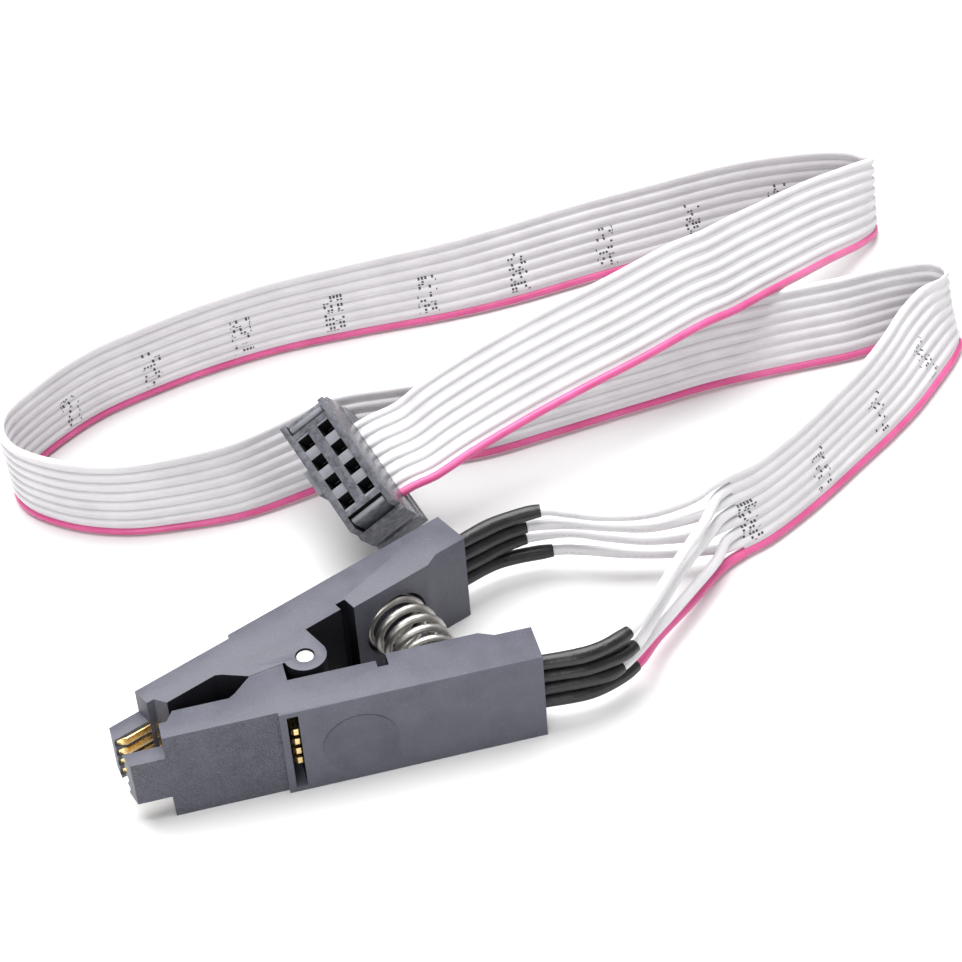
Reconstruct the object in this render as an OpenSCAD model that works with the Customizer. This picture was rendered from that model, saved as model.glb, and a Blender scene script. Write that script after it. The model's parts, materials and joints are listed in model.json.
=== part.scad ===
// Test clip for an eight-lead small-outline chip, with a ribbon lead to a two-row socket.
// Two equal levers hinge on one pin. A spring between their rear arms keeps the noses shut.
// Millimetres. +X runs from the noses to the lead, +Z is up, and the clip lies on its side.

/* [Levers] */
// Thickness of the clip, measured along the hinge pin
lever_w = 10.54; // [10.4:0.02:11]
// Length of a lever's straight part behind the pin
rear_l = 21.6; // [21:0.1:22.5]
// Length of a lever's main part in front of the pin
front_l = 15; // [14.8:0.1:15.4]
// Distance from the pin to a lever's outer face
outer_n = 7.27; // [7.1:0.01:7.6]
// Angle of each lever from the centre plane when the clip is shut
lever_angle = 11.915; // [11:0.005:12.5]

/* [Hinge] */
// Radius of the hinge pin
pin_r = 0.9; // [0.8:0.05:1]
// Radius of the hinge knuckles
boss_r = 2.1; // [1.9:0.05:2.15]
// Clearance between stacked knuckles
knuckle_gap = 0.05; // [0.03:0.01:0.1]

/* [Spring] */
// Mean radius of the spring's coils
spring_r = 2.85; // [2.7:0.05:2.95]
// Diameter of the spring wire
spring_wire = 0.84; // [0.7:0.02:0.9]
// Number of turns
spring_turns = 8.5; // [7.5:0.5:9]

/* [Contacts] */
// Spacing of the contact tips, which is the lead spacing of the chip
tip_pitch = 1.27; // [1.27:0.01:1.27]
// Spacing of the contacts at the wires
tail_pitch = 1.7; // [1.65:0.01:1.75]
// Width of a contact strip
strip_w = 0.82; // [0.7:0.01:0.86]
// Thickness of a contact strip
strip_t = 0.25; // [0.2:0.01:0.3]

/* [Lead] */
// Spacing of the ribbon's conductors
ribbon_pitch = 1.27; // [1.27:0.01:1.27]
// Thickness of the ribbon
ribbon_t = 0.9; // [0.8:0.05:1]
// Diameter of a single wire
wire_d = 1.1; // [1:0.05:1.15]
// Outer diameter of a heat-shrink sleeve in the lever's bore
sleeve_d = 1.6; // [1.5:0.05:1.6]

/* [Socket] */
// Length of the socket's mating part
socket_l = 13.6; // [13.4:0.1:14]
// Length of the socket's flange and cover
flange_l = 14.8; // [14.6:0.1:15.2]
// Width of the socket
socket_w = 5.6; // [5.4:0.1:6]
// Height of the socket and its cover together
socket_h = 10.5; // [10.3:0.1:11]
// Spacing of the pin holes
pin_pitch = 2.54; // [2.54:0.01:2.54]

/* [Hidden] */
$fn = 48;
eps = 0.01;

// Hinge and lever
pin_x = -0.5;
half_w = lever_w / 2;
knuckle_h = half_w / 2;
knuckle_r_gap = 0.2;
cavity_n = 3.5;
inner_n = 2.85;
arm_n = 2.2;
tip_a = -5.65;
parting_gap = 0.04;
face_step = 0.46;
face_step_a = -4;
nose_a = -18.4;
nose_half = 2.6;
nose_n = 5.07;
window_a = [-3.3, -2.2];
window_half = 4.7;
channel_gap = 0.03;
disc_a = 3.4;
disc_z = 0.65;
disc_r = 3.7;
disc_t = 0.1;

// Spring and its seats
seat_a = 12.2;
seat_n = 4.3;
seat_r = 3.6;
spring_bow = 1.1;

// Contacts, in the lever's own plan
tip_n = 5.03;
tip_flare = 0.55;
arm_strip_n = 4.2;
tail_n = 5.2;
tail_end_a = 19.55;
bore_r = 0.83;

// Lead
sides = 8;
ribbon_edge = 0.56;
ribbon_w = 7 * ribbon_pitch + 2 * ribbon_edge;
rest_gap = 0.03;

// Socket
body_h = 6.5;
ribbon_slot = 1;
hole_w = 1.4;
fork_slot_w = 1.8;
flange_top = -2.3;
row_recess = 0.12;
latch_x = 5.95;
latch_r = 0.4;
latch_top = -0.25;
latch_w = 4.1;
key_w = 3;
key_out = 0.6;

// Ribbon route along its lower edge conductor: x, y, lift above the surface,
// and lean of the ribbon from upright towards its left, in degrees.
ribbon_route = [
    [48.5, 0.9, 0, 18],
    [51.5, 1.3, 0, 17],
    [55.5, 2.5, 0, 17],
    [60.5, 4.4, 0, 18],
    [66, 6.8, 0, 20],
    [71.5, 9.2, 0, 23],
    [76.5, 11.7, 0, 28],
    [81.5, 14.8, 0, 32],
    [85, 17.2, 0, 28],
    [86.9, 19.2, 0, 15],
    [86.7, 21.4, 0, 4],
    [85, 22.6, 0, -5],
    [81.5, 22.9, 0, -12],
    [78, 23, 0, -17],
    [75, 23.3, 0, -18],
    [70, 24.4, 0, -18],
    [64.5, 25.6, 0, -17],
    [59, 26.6, 0, -15],
    [53.5, 27.1, 0, -13],
    [48, 27.6, 0, -12],
    [40, 28.2, 0, -12],
    [32, 29, 0, -14],
    [24, 31.5, 0, -16],
    [18, 33, 0, -18],
    [12.5, 32.7, 0, -14],
    [5.5, 32.9, 0, -7],
    [-1.7, 34.9, 0, -2],
    [-6.8, 37.1, 0, 0],
    [-11.4, 40.9, 0, 2],
    [-14.4, 45.7, 0, 3],
    [-14, 50.2, 0, 2],
    [-9.9, 53.6, 0, 0],
    [-2.5, 56.7, 0, 0],
    [5, 57.8, 0, 0],
    [12.5, 58.1, 0, 1],
    [20.5, 57.5, 0, 3],
    [29, 55.8, 0, 6],
    [40, 53.1, 0, 12],
    [48, 51.8, 0, 18],
    [57, 51.1, 0, 20],
    [66, 50.3, 0, 18],
    [76, 49.6, 0, 13],
    [84, 48, 0, 7],
    [88.6, 46.4, 0, 2],
    [90.6, 44.1, 0, -2],
    [90, 41.6, 0.3, -5],
    [86.3, 38.9, 1.4, -22],
    [79.5, 34.9, 4.2, -37],
    [72.3, 30.1, 7.6, -42],
    [66, 26.5, 10, -41],
    [60.6, 23.9, 11.5, -40],
    [55.9, 22.6, 12.3, -40],
    [47.5, 20.6, 12.5, -42],
    [40, 20.1, 11.7, -45],
    [33.2, 20.1, 10.3, -50],
    [27, 20.2, 8.6, -57],
    [23, 20.4, 7.1, -63]
];

// Wire routes from the lever's rear bore to the ribbon
near_wire_routes = [
    [[17.6, -9.1, 7.8], [20, -9.7, 7.8], [24.5, -10.9, 7.9], [29, -10.3, 8], [33, -7.8, 8],
        [38, -3.9, 8], [43, -0.3, 8]],
    [[17.6, -9.1, 6.1], [20, -9.7, 6.1], [25, -11, 6.1], [29.5, -10.5, 6.1], [34, -7.1, 6],
        [38.7, -3.2, 5.8], [43.7, 0.1, 5.6]],
    [[17.6, -9.1, 4.4], [20, -9.7, 4.4], [24.5, -10.8, 4.4], [27.8, -10.8, 4.3], [33, -8, 4.1],
        [39.6, -4, 3.6], [44, -1.2, 3.3]],
    [[17.6, -9.1, 2.8], [20, -9.7, 2.7], [25, -10.7, 2.6], [30, -9.6, 2.4], [34, -6.8, 2],
        [39.4, -3.7, 1.5], [44, -0.8, 1]]
];
far_wire_routes = [
    [[17.6, 9.1, 7.8], [20, 9.7, 7.8], [25, 10.4, 7.9], [29.6, 9.6, 8.2], [31.9, 7.8, 8.3],
        [34.5, 5.3, 8.6], [38.5, 3, 8.9], [43, 2.5, 9.1]],
    [[17.6, 9.1, 6.1], [20, 9.7, 6.1], [24.5, 10.4, 6.1], [28.2, 10.2, 6.2], [32, 8.3, 6.3],
        [35.5, 5.6, 6.5], [39, 3.2, 6.7], [44, 2.1, 6.8]],
    [[17.6, 9.1, 4.4], [20, 9.7, 4.4], [25, 10.5, 4.4], [28.2, 10.5, 4.4], [32.5, 9, 4.4],
        [35.6, 6.4, 4.4], [39.1, 3.8, 4.4], [44, 1.8, 4.4]],
    [[17.6, 9.1, 2.8], [20, 9.7, 2.7], [25, 10.5, 2.6], [30.6, 9.3, 2.5], [33.5, 7.8, 2.4],
        [37, 5.5, 2.2], [41, 3.3, 2.1], [45, 1.7, 2]]
];
// Which conductor each wire is, counted up from the ribbon's lower edge
near_conductors = [7, 5, 3, 1];
far_conductors = [8, 6, 4, 2];

// Socket pose: centre of its mating face, its long axis, and the way its face looks
socket_pos = [12.78, 22.12, 12.51];
socket_long = [0.141, -0.9, -0.412];
socket_out = [-0.487, -0.426, 0.762];
socket_z = unit(socket_out);
socket_y = unit(cross(socket_z, socket_long));
socket_x = cross(socket_y, socket_z);

// ---- Vector helpers ----
function unit(v) = v / norm(v);
function lerp(a, b, t) = a + (b - a) * t;

// ---- Sweep of closed rings into one solid ----
// Rings are lists of points that run anticlockwise when seen from behind the travel.
module loft(rings) {
    n = len(rings[0]);
    last = len(rings) - 1;
    points = [for (ring = rings) each ring];
    side_faces = [
        for (i = [0:last - 1]) for (j = [0:n - 1]) each [
            [i * n + j, i * n + (j + 1) % n, (i + 1) * n + j],
            [i * n + (j + 1) % n, (i + 1) * n + (j + 1) % n, (i + 1) * n + j]
        ]
    ];
    start_face = [for (j = [n - 1:-1:0]) j];
    end_face = [for (j = [0:n - 1]) last * n + j];
    polyhedron(points, concat(side_faces, [start_face], [end_face]));
}

// Direction of travel at point i of a route
function heading(route, i) =
    let (last = len(route) - 1)
    i == 0 ? unit(route[1] - route[0]) :
    i == last ? unit(route[last] - route[last - 1]) :
    unit(unit(route[i] - route[i - 1]) + unit(route[i + 1] - route[i]));

// Round ring of radius r about point i of a route
function round_ring(route, i, r) =
    let (t = heading(route, i), side = unit(cross([0, 0, 1], t)), up = cross(t, side))
    [for (k = [0:sides - 1]) let (a = 360 * (k + 0.5) / sides)
        route[i] + r * (sin(a) * up - cos(a) * side)];

// ---- Levers ----
// A lever's plan: x runs back along its outer face, y points outwards, pin at the origin.
function parting_n(a) = -a * tan(lever_angle) + parting_gap / 2;

module bar_plan() {
    polygon([
        [rear_l, inner_n + 0.1],
        [rear_l, outer_n],
        [face_step_a, outer_n],
        [face_step_a, outer_n - face_step],
        [-front_l, outer_n - face_step],
        [-front_l, 4.75],
        [-front_l + 0.8, 4.7],
        [-front_l + 1.5, cavity_n],
        [-8.05, cavity_n],
        [-7.45, 3.1],
        [tip_a, parting_n(tip_a)],
        [-boss_r - knuckle_r_gap, parting_n(-boss_r - knuckle_r_gap)],
        [-boss_r - knuckle_r_gap, inner_n],
        [6.3, inner_n],
        [6.3, 3.75],
        [7.4, 3.75],
        [7.4, arm_n],
        [16.5, arm_n],
        [18, inner_n + 0.1]
    ]);
}

module knuckle_plan() {
    union() {
        circle(r = boss_r);
        polygon([
            [-boss_r - knuckle_r_gap - eps, parting_n(-boss_r - knuckle_r_gap)],
            [0, 0.02],
            [boss_r, 0.02],
            [boss_r, inner_n + eps],
            [-boss_r - knuckle_r_gap - eps, inner_n + eps]
        ]);
    }
}

module nose_plan() {
    polygon([
        [-front_l + 1, outer_n - face_step],
        [nose_a + 0.05, outer_n - face_step],
        [nose_a - 0.45, nose_n],
        [-front_l + 1, nose_n]
    ]);
}

// Heights of a lever's two knuckles above the middle plane
knuckle_levels = [[knuckle_h + knuckle_gap / 2, half_w], [-knuckle_h + knuckle_gap / 2, -knuckle_gap / 2]];

module lever() {
    difference() {
        union() {
            translate([0, 0, -half_w])
                linear_extrude(lever_w)
                    bar_plan();
            for (level = knuckle_levels)
                translate([0, 0, level[0]])
                    linear_extrude(level[1] - level[0])
                        knuckle_plan();
            translate([0, 0, -nose_half])
                linear_extrude(2 * nose_half)
                    nose_plan();
            // Low round pad on the outer face
            translate([disc_a, outer_n - 1, disc_z])
                rotate([-90, 0, 0])
                    cylinder(h = 1 + disc_t, r = disc_r);
        }
        cylinder(h = lever_w + 1, r = pin_r + 0.03, center = true);
        seat_cut();
        window_cut();
        for (i = [0:3]) {
            contact_shape(i, channel_gap);
            tail_bore(i);
            nose_notch(i);
        }
    }
}

// Blind seat for the spring, square to the lever's inner face
module seat_cut() {
    translate([seat_a, seat_n, 0])
        rotate([90, 0, 0])
            cylinder(h = seat_n - arm_n + 1, r = seat_r);
}

module window_cut() {
    translate([window_a[0], arm_strip_n - strip_t - 0.3, -window_half])
        cube([window_a[1] - window_a[0], outer_n, 2 * window_half]);
}

// Bore in the rear face that takes one sleeve
module tail_bore(i) {
    translate([tail_end_a, tail_n, tail_z(i)])
        rotate([0, 90, 0])
            cylinder(h = rear_l - tail_end_a + 1, r = bore_r);
}

// Comb notch at the nose's end
module nose_notch(i) {
    translate([nose_a - 1, nose_n - 0.2, tip_z(i) - strip_w / 2 - channel_gap])
        cube([1.5, 0.55, strip_w + 2 * channel_gap]);
}

// ---- Contacts ----
function tip_z(i) = (1.5 - i) * tip_pitch;
function tail_z(i) = (1.5 - i) * tail_pitch;

// Strip number i of a lever. grow widens it into its channel.
module contact_shape(i, grow) {
    half = strip_w / 2 + grow;
    // Flared tip and front arm
    translate([0, 0, tip_z(i) - half])
        linear_extrude(2 * half)
            polygon([
                [nose_a - 0.1, tip_n - strip_t + tip_flare - grow],
                [nose_a + 0.7, tip_n - strip_t - grow],
                [-front_l + 0.4, tip_n - strip_t - grow],
                [-front_l + 2.4, arm_strip_n - strip_t - grow],
                [7.2, arm_strip_n - strip_t - grow],
                [9 + grow, tail_n - strip_t / 2 - grow],
                [9 + grow, tail_n + strip_t / 2 + grow],
                [7 - grow, arm_strip_n + grow],
                [-front_l + 2.5, arm_strip_n + grow],
                [-front_l + 0.5, tip_n + grow],
                [nose_a + 0.8, tip_n + grow],
                [nose_a + 0.05, tip_n + tip_flare + grow]
            ]);
    // Tail, which spreads to the wires' spacing
    translate([0, tail_n + strip_t / 2 + grow, 0])
        rotate([90, 0, 0])
            linear_extrude(strip_t + 2 * grow)
                polygon([
                    [8.5, tip_z(i) - half],
                    [9.5, tip_z(i) - half],
                    [12.5, tail_z(i) - half + 0.06],
                    [tail_end_a, tail_z(i) - half + 0.06],
                    [tail_end_a, tail_z(i) + half - 0.06],
                    [12.5, tail_z(i) + half - 0.06],
                    [9.5, tip_z(i) + half],
                    [8.5, tip_z(i) + half]
                ]);
}

// ---- Placing a lever's pieces on the near or the far side ----
module far_side() {
    translate([pin_x, 0, half_w])
        rotate([0, 0, lever_angle])
            children();
}

// The near lever is the same moulding turned half a turn about the clip's length
module near_side() {
    translate([pin_x, 0, half_w])
        rotate([180, 0, 0])
            rotate([0, 0, lever_angle])
                children();
}

module near_lever() {
    color([0.42, 0.42, 0.48])
        near_side()
            lever();
}

module far_lever() {
    color([0.45, 0.45, 0.51])
        far_side()
            lever();
}

module hinge_pin() {
    color([0.8, 0.8, 0.8])
        translate([pin_x, 0, 0.15])
            cylinder(h = lever_w - 0.3, r = pin_r);
}

// Contacts are counted downwards from the top on both levers
module near_contact(i) {
    color([0.83, 0.66, 0.25])
        near_side()
            contact_shape(3 - i, 0);
}

module far_contact(i) {
    color([0.83, 0.66, 0.25])
        far_side()
            contact_shape(i, 0);
}

// ---- Spring ----
// The coils fan out between two seats that lean away from each other, and the middle bows to the rear.
seat_x = pin_x + seat_a * cos(lever_angle) - seat_n * sin(lever_angle);
seat_y = seat_a * sin(lever_angle) + seat_n * cos(lever_angle);
seat_reach = seat_y - (spring_wire / 2 + 0.12) / cos(lever_angle);
end_pitch = 0.066;

// Share of the way from the near seat to the far seat after u turns
function spring_share(u) =
    u < 1 ? end_pitch * u :
    u > spring_turns - 1 ? 1 - end_pitch * (spring_turns - u) :
    lerp(end_pitch, 1 - end_pitch, (u - 1) / (spring_turns - 2));

function spring_point(u) =
    let (dx = spring_r * cos(360 * u), s = 2 * spring_share(u) - 1)
    [
        seat_x + spring_bow * (1 - s * s) + dx,
        s * (seat_reach + dx * tan(lever_angle)),
        half_w + spring_r * sin(360 * u)
    ];

module spring() {
    steps = 14 * spring_turns;
    route = [for (i = [0:steps]) spring_point(i * spring_turns / steps)];
    rings = [for (i = [0:steps])
        let (t = heading(route, i), side = unit(cross([0, 1, 0], t)), up = cross(t, side))
        [for (k = [0:5]) let (a = 60 * k)
            route[i] + spring_wire / 2 * (sin(a) * up - cos(a) * side)]];
    color([0.78, 0.78, 0.76])
        loft(rings);
}

// ---- Ribbon ----
function ribbon_bottom(lean) =
    rest_gap + ribbon_edge * cos(lean) + ribbon_t / 2 * abs(sin(lean));

ribbon_line = [for (p = ribbon_route) [p[0], p[1], ribbon_bottom(p[3]) + p[2]]];

// Point of the lower edge conductor inside the socket, y along the socket's width
function socket_edge_point(y) =
    socket_pos + 3.5 * ribbon_pitch * socket_x + y * socket_y - (body_h + ribbon_slot / 2) * socket_z;

full_line = concat(ribbon_line, [socket_edge_point(socket_w / 2 + 0.4), socket_edge_point(0.3 - socket_w / 2)]);

// Direction across the ribbon, from its lower edge to its upper edge
function ribbon_across(i) =
    i >= len(ribbon_route) ? -socket_x :
    let (
        t = heading(full_line, i),
        left = unit(cross([0, 0, 1], t)),
        up = cross(t, left),
        lean = ribbon_route[i][3]
    )
    cos(lean) * up + sin(lean) * left;

function ribbon_ring(i) =
    let (
        across = ribbon_across(i),
        flat = i >= len(ribbon_route) ? socket_z : cross(across, heading(full_line, i)),
        low = full_line[i] - ribbon_edge * across,
        high = low + ribbon_w * across
    )
    [
        low - ribbon_t / 2 * flat,
        high - ribbon_t / 2 * flat,
        high + ribbon_t / 2 * flat,
        low + ribbon_t / 2 * flat
    ];

module ribbon() {
    color([0.8, 0.8, 0.78])
        loft([for (i = [0:len(full_line) - 1]) ribbon_ring(i)]);
}

// ---- Single wires and their sleeves ----
// Point where conductor number k leaves the ribbon
function split_point(k) = ribbon_line[0] + (k - 1) * ribbon_pitch * ribbon_across(0);

function wire_route(points, k) =
    let (
        along = heading(ribbon_line, 0),
        end = split_point(k),
        joint = end - 0.3 * along,
        approach = unit(joint - points[len(points) - 1])
    )
    concat(points, [joint - 2 * unit(approach + along), joint, end]);

module wire(points, k) {
    route = wire_route(points, k);
    loft([for (i = [0:len(route) - 1]) round_ring(route, i, wire_d / 2)]);
}

// Hollow sleeve over the first part of a wire, a little swollen over the joint
module sleeve(points) {
    start = lerp(points[0], points[1], 0.15);
    route = concat([start], [for (i = [1:3]) points[i]]);
    swell = [0, 0, 0.06, -0.05];
    difference() {
        loft([for (i = [0:3]) round_ring(route, i, sleeve_d / 2 + swell[i])]);
        loft([for (i = [0:3])
            [for (p = round_ring(route, i, wire_d / 2 + 0.03))
                p + (i == 0 ? -0.2 : i == 3 ? 0.2 : 0) * heading(route, i)]]);
    }
}

module near_wire(i) {
    color(i == 3 ? [0.85, 0.45, 0.6] : [0.8, 0.8, 0.78])
        wire(near_wire_routes[i], near_conductors[i]);
}

module far_wire(i) {
    color([0.8, 0.8, 0.78])
        wire(far_wire_routes[i], far_conductors[i]);
}

module near_sleeve(i) {
    color([0.12, 0.12, 0.12])
        sleeve(near_wire_routes[i]);
}

module far_sleeve(i) {
    color([0.12, 0.12, 0.12])
        sleeve(far_wire_routes[i]);
}

// ---- Socket ----
// Socket plan: x along the rows of holes, y towards the ribbon's way in, z out of the mating face.
function hole_x(k) = (floor(k / 2) - 1.5) * pin_pitch;
function hole_y(k) = (k % 2 == 0 ? 0.5 : -0.5) * pin_pitch;
function fork_x(k) = (k - 3.5) * ribbon_pitch;

module socket_place() {
    multmatrix([
        [socket_x[0], socket_y[0], socket_z[0], socket_pos[0]],
        [socket_x[1], socket_y[1], socket_z[1], socket_pos[1]],
        [socket_x[2], socket_y[2], socket_z[2], socket_pos[2]],
        [0, 0, 0, 1]
    ])
        children();
}

module centred_box(size_x, size_y, low_z, high_z) {
    translate([-size_x / 2, -size_y / 2, low_z])
        cube([size_x, size_y, high_z - low_z]);
}

module socket_body() {
    color([0.32, 0.33, 0.35])
        socket_place()
            difference() {
                union() {
                    centred_box(socket_l, socket_w, -body_h, 0);
                    centred_box(flange_l, socket_w, -body_h, flange_top);
                    // Polarising key
                    translate([0, -socket_w / 2, 0])
                        centred_box(key_w, 2 * key_out, -body_h + 1, -0.4);
                }
                for (k = [0:7]) {
                    translate([hole_x(k), hole_y(k), 0])
                        centred_box(hole_w, hole_w, -body_h - 1, 0.5);
                    translate([(hole_x(k) + fork_x(k)) / 2, hole_y(k), 0])
                        centred_box(fork_slot_w, 0.5, -body_h - 1, -body_h + 1.2);
                }
                // Shallow recess along each row of holes
                for (side = [-1, 1])
                    translate([0, side * pin_pitch / 2, 0])
                        centred_box(3 * pin_pitch + hole_w + 0.5, hole_w, -row_recess, 1);
                // Slots that take the cover's latches
                for (side = [-1, 1])
                    translate([side * (latch_x + 0.15), 0, 0])
                        centred_box(1.5, latch_w + 0.2, -body_h - 1, 1);
            }
}

module socket_cover() {
    color([0.36, 0.37, 0.39])
        socket_place()
            difference() {
                union() {
                    centred_box(flange_l, socket_w, -socket_h, -body_h - ribbon_slot);
                    for (side = [-1, 1])
                        translate([side * latch_x, 0, 0]) {
                            centred_box(2 * latch_r, latch_w, -body_h - ribbon_slot - 1, latch_top - latch_r);
                            translate([0, 0, latch_top - latch_r])
                                rotate([90, 0, 0])
                                    cylinder(h = latch_w, r = latch_r, center = true);
                        }
                }
                for (k = [0:7])
                    translate([fork_x(k), hole_y(k), 0])
                        centred_box(0.8, 0.4, -body_h - ribbon_slot - 0.8, -body_h);
                // Groove along both long sides
                for (side = [-1, 1])
                    translate([0, side * socket_w / 2, 0])
                        centred_box(flange_l + 1, 0.6, -socket_h + 1.2, -socket_h + 1.5);
            }
}

// Fork contact number k, with two spring blades around the pin and two tines in the ribbon
module socket_contact(k) {
    color([0.8, 0.68, 0.4])
        socket_place() {
            for (side = [-1, 1]) {
                translate([hole_x(k) + side * 0.28, hole_y(k), 0])
                    centred_box(0.14, 0.6, -body_h + 0.9, -1.8);
                translate([fork_x(k) + side * 0.26, hole_y(k), 0])
                    centred_box(0.16, 0.25, -body_h - ribbon_slot - 0.3, -body_h + 0.5);
            }
            translate([(hole_x(k) + fork_x(k)) / 2, hole_y(k), 0])
                centred_box(0.68 + pin_pitch / 4, 0.25, -body_h + 0.3, -body_h + 1);
        }
}

near_lever();
far_lever();
hinge_pin();
spring();
near_contact(0);  // near_contact_1
near_contact(1);  // near_contact_2
near_contact(2);  // near_contact_3
near_contact(3);  // near_contact_4
far_contact(0);  // far_contact_1
far_contact(1);  // far_contact_2
far_contact(2);  // far_contact_3
far_contact(3);  // far_contact_4
near_sleeve(0);  // near_sleeve_1
near_sleeve(1);  // near_sleeve_2
near_sleeve(2);  // near_sleeve_3
near_sleeve(3);  // near_sleeve_4
far_sleeve(0);  // far_sleeve_1
far_sleeve(1);  // far_sleeve_2
far_sleeve(2);  // far_sleeve_3
far_sleeve(3);  // far_sleeve_4
near_wire(0);  // near_wire_1
near_wire(1);  // near_wire_2
near_wire(2);  // near_wire_3
near_wire(3);  // near_wire_4
far_wire(0);  // far_wire_1
far_wire(1);  // far_wire_2
far_wire(2);  // far_wire_3
far_wire(3);  // far_wire_4
ribbon();
socket_body();
socket_cover();
socket_contact(0);  // socket_contact_1
socket_contact(1);  // socket_contact_2
socket_contact(2);  // socket_contact_3
socket_contact(3);  // socket_contact_4
socket_contact(4);  // socket_contact_5
socket_contact(5);  // socket_contact_6
socket_contact(6);  // socket_contact_7
socket_contact(7);  // socket_contact_8
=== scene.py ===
import json
import math
import random

import bmesh
import bpy
import numpy as np
from mathutils import Matrix, Vector


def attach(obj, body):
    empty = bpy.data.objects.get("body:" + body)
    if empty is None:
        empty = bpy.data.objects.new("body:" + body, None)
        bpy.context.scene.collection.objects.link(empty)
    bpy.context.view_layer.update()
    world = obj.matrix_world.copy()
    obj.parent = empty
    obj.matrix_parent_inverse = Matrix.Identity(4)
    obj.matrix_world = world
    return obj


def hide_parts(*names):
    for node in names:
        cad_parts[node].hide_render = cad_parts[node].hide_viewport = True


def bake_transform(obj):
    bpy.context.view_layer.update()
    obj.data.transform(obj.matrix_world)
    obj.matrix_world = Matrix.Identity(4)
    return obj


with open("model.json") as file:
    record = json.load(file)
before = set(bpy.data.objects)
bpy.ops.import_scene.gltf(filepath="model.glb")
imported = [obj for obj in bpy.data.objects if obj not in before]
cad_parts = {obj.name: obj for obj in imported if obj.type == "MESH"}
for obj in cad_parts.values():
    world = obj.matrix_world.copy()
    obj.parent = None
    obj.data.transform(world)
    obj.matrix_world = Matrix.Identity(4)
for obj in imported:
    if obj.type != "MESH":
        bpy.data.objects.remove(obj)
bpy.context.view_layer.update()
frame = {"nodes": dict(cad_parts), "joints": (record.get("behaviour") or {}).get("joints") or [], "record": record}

nodes = frame["nodes"]
MM = 0.001

# The two levers are one moulding used twice, in blue-grey glass-filled nylon.
# They come out of the tool with a fine spark finish, small edge radii and a leather
# grain on the recessed grip of each nose, and mesh at four stacked knuckles.
LEVER_ANGLE = math.radians(11.915)
LEVER_EDGE = 0.13 * MM
GRIP_N = 6.6 * MM
GRIP_A = -4 * MM
PAD_N = 7.3 * MM
# Inner faces of the arms within the next two limits are painted near-black: painted shade of the cavity between
# the levers.
PAINTED_SHADE_N = 6.3 * MM
PAINTED_SHADE_A = (-14 * MM, 7.6 * MM)
hinge = Vector(frame["joints"][0]["pos_m"])


def new_material(name):
    """A node material with its shader ready to take inputs."""
    made = bpy.data.materials.new(name)
    made.use_nodes = True
    return made, made.node_tree.nodes, made.node_tree.links, made.node_tree.nodes["Principled BSDF"]


def coordinates(tree_nodes, links):
    """Object coordinates in millimetres."""
    source = tree_nodes.new("ShaderNodeTexCoord")
    enlarge = tree_nodes.new("ShaderNodeMapping")
    enlarge.inputs["Scale"].default_value = (1 / MM,) * 3
    links.new(source.outputs["Object"], enlarge.inputs["Vector"])
    return enlarge.outputs["Vector"]


def noise_texture(tree_nodes, links, vector, scale, detail=3.0, roughness=0.55):
    made = tree_nodes.new("ShaderNodeTexNoise")
    made.inputs["Scale"].default_value = scale
    made.inputs["Detail"].default_value = detail
    made.inputs["Roughness"].default_value = roughness
    links.new(vector, made.inputs["Vector"])
    return made.outputs["Fac"]


def ramp(tree_nodes, links, value, stops):
    """Colour ramp from (position, colour) pairs."""
    made = tree_nodes.new("ShaderNodeValToRGB")
    elements = made.color_ramp.elements
    while len(elements) < len(stops):
        elements.new(0.5)
    for element, (place, colour) in zip(elements, stops):
        element.position = place
        element.color = (*colour, 1)
    links.new(value, made.inputs["Fac"])
    return made.outputs["Color"]


def bump(tree_nodes, links, height, distance, strength=1.0, normal=None):
    made = tree_nodes.new("ShaderNodeBump")
    made.inputs["Distance"].default_value = distance
    made.inputs["Strength"].default_value = strength
    links.new(height, made.inputs["Height"])
    if normal is not None:
        links.new(normal, made.inputs["Normal"])
    return made.outputs["Normal"]


def mixed(tree_nodes, links, first, second, factor, blend="MIX"):
    """First and second colour mixed by a factor, which may be a number or a socket."""
    made = tree_nodes.new("ShaderNodeMix")
    made.data_type = "RGBA"
    made.blend_type = blend
    for key, value in (("A", first), ("B", second), ("Factor", factor)):
        if isinstance(value, (tuple, float)):
            made.inputs[key].default_value = value
        else:
            links.new(value, made.inputs[key])
    return made.outputs["Result"]


def leather_creases(tree_nodes, links, place):
    """Wavy cells about half a millimetre across, black along their creases: the grain's relief, and the mask for
    painted shade in the creases.
    """
    wave = tree_nodes.new("ShaderNodeTexNoise")
    wave.inputs["Scale"].default_value = 1.1
    wave.inputs["Detail"].default_value = 2.0
    links.new(place, wave.inputs["Vector"])
    bent = mixed(tree_nodes, links, place, wave.outputs["Color"], 0.55, "ADD")
    cells = tree_nodes.new("ShaderNodeTexVoronoi")
    cells.feature = "DISTANCE_TO_EDGE"
    cells.inputs["Scale"].default_value = 2.5
    links.new(bent, cells.inputs["Vector"])
    return ramp(tree_nodes, links, cells.outputs["Distance"], [(0.0, (0, 0, 0)), (0.42, (1, 1, 1))])


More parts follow.
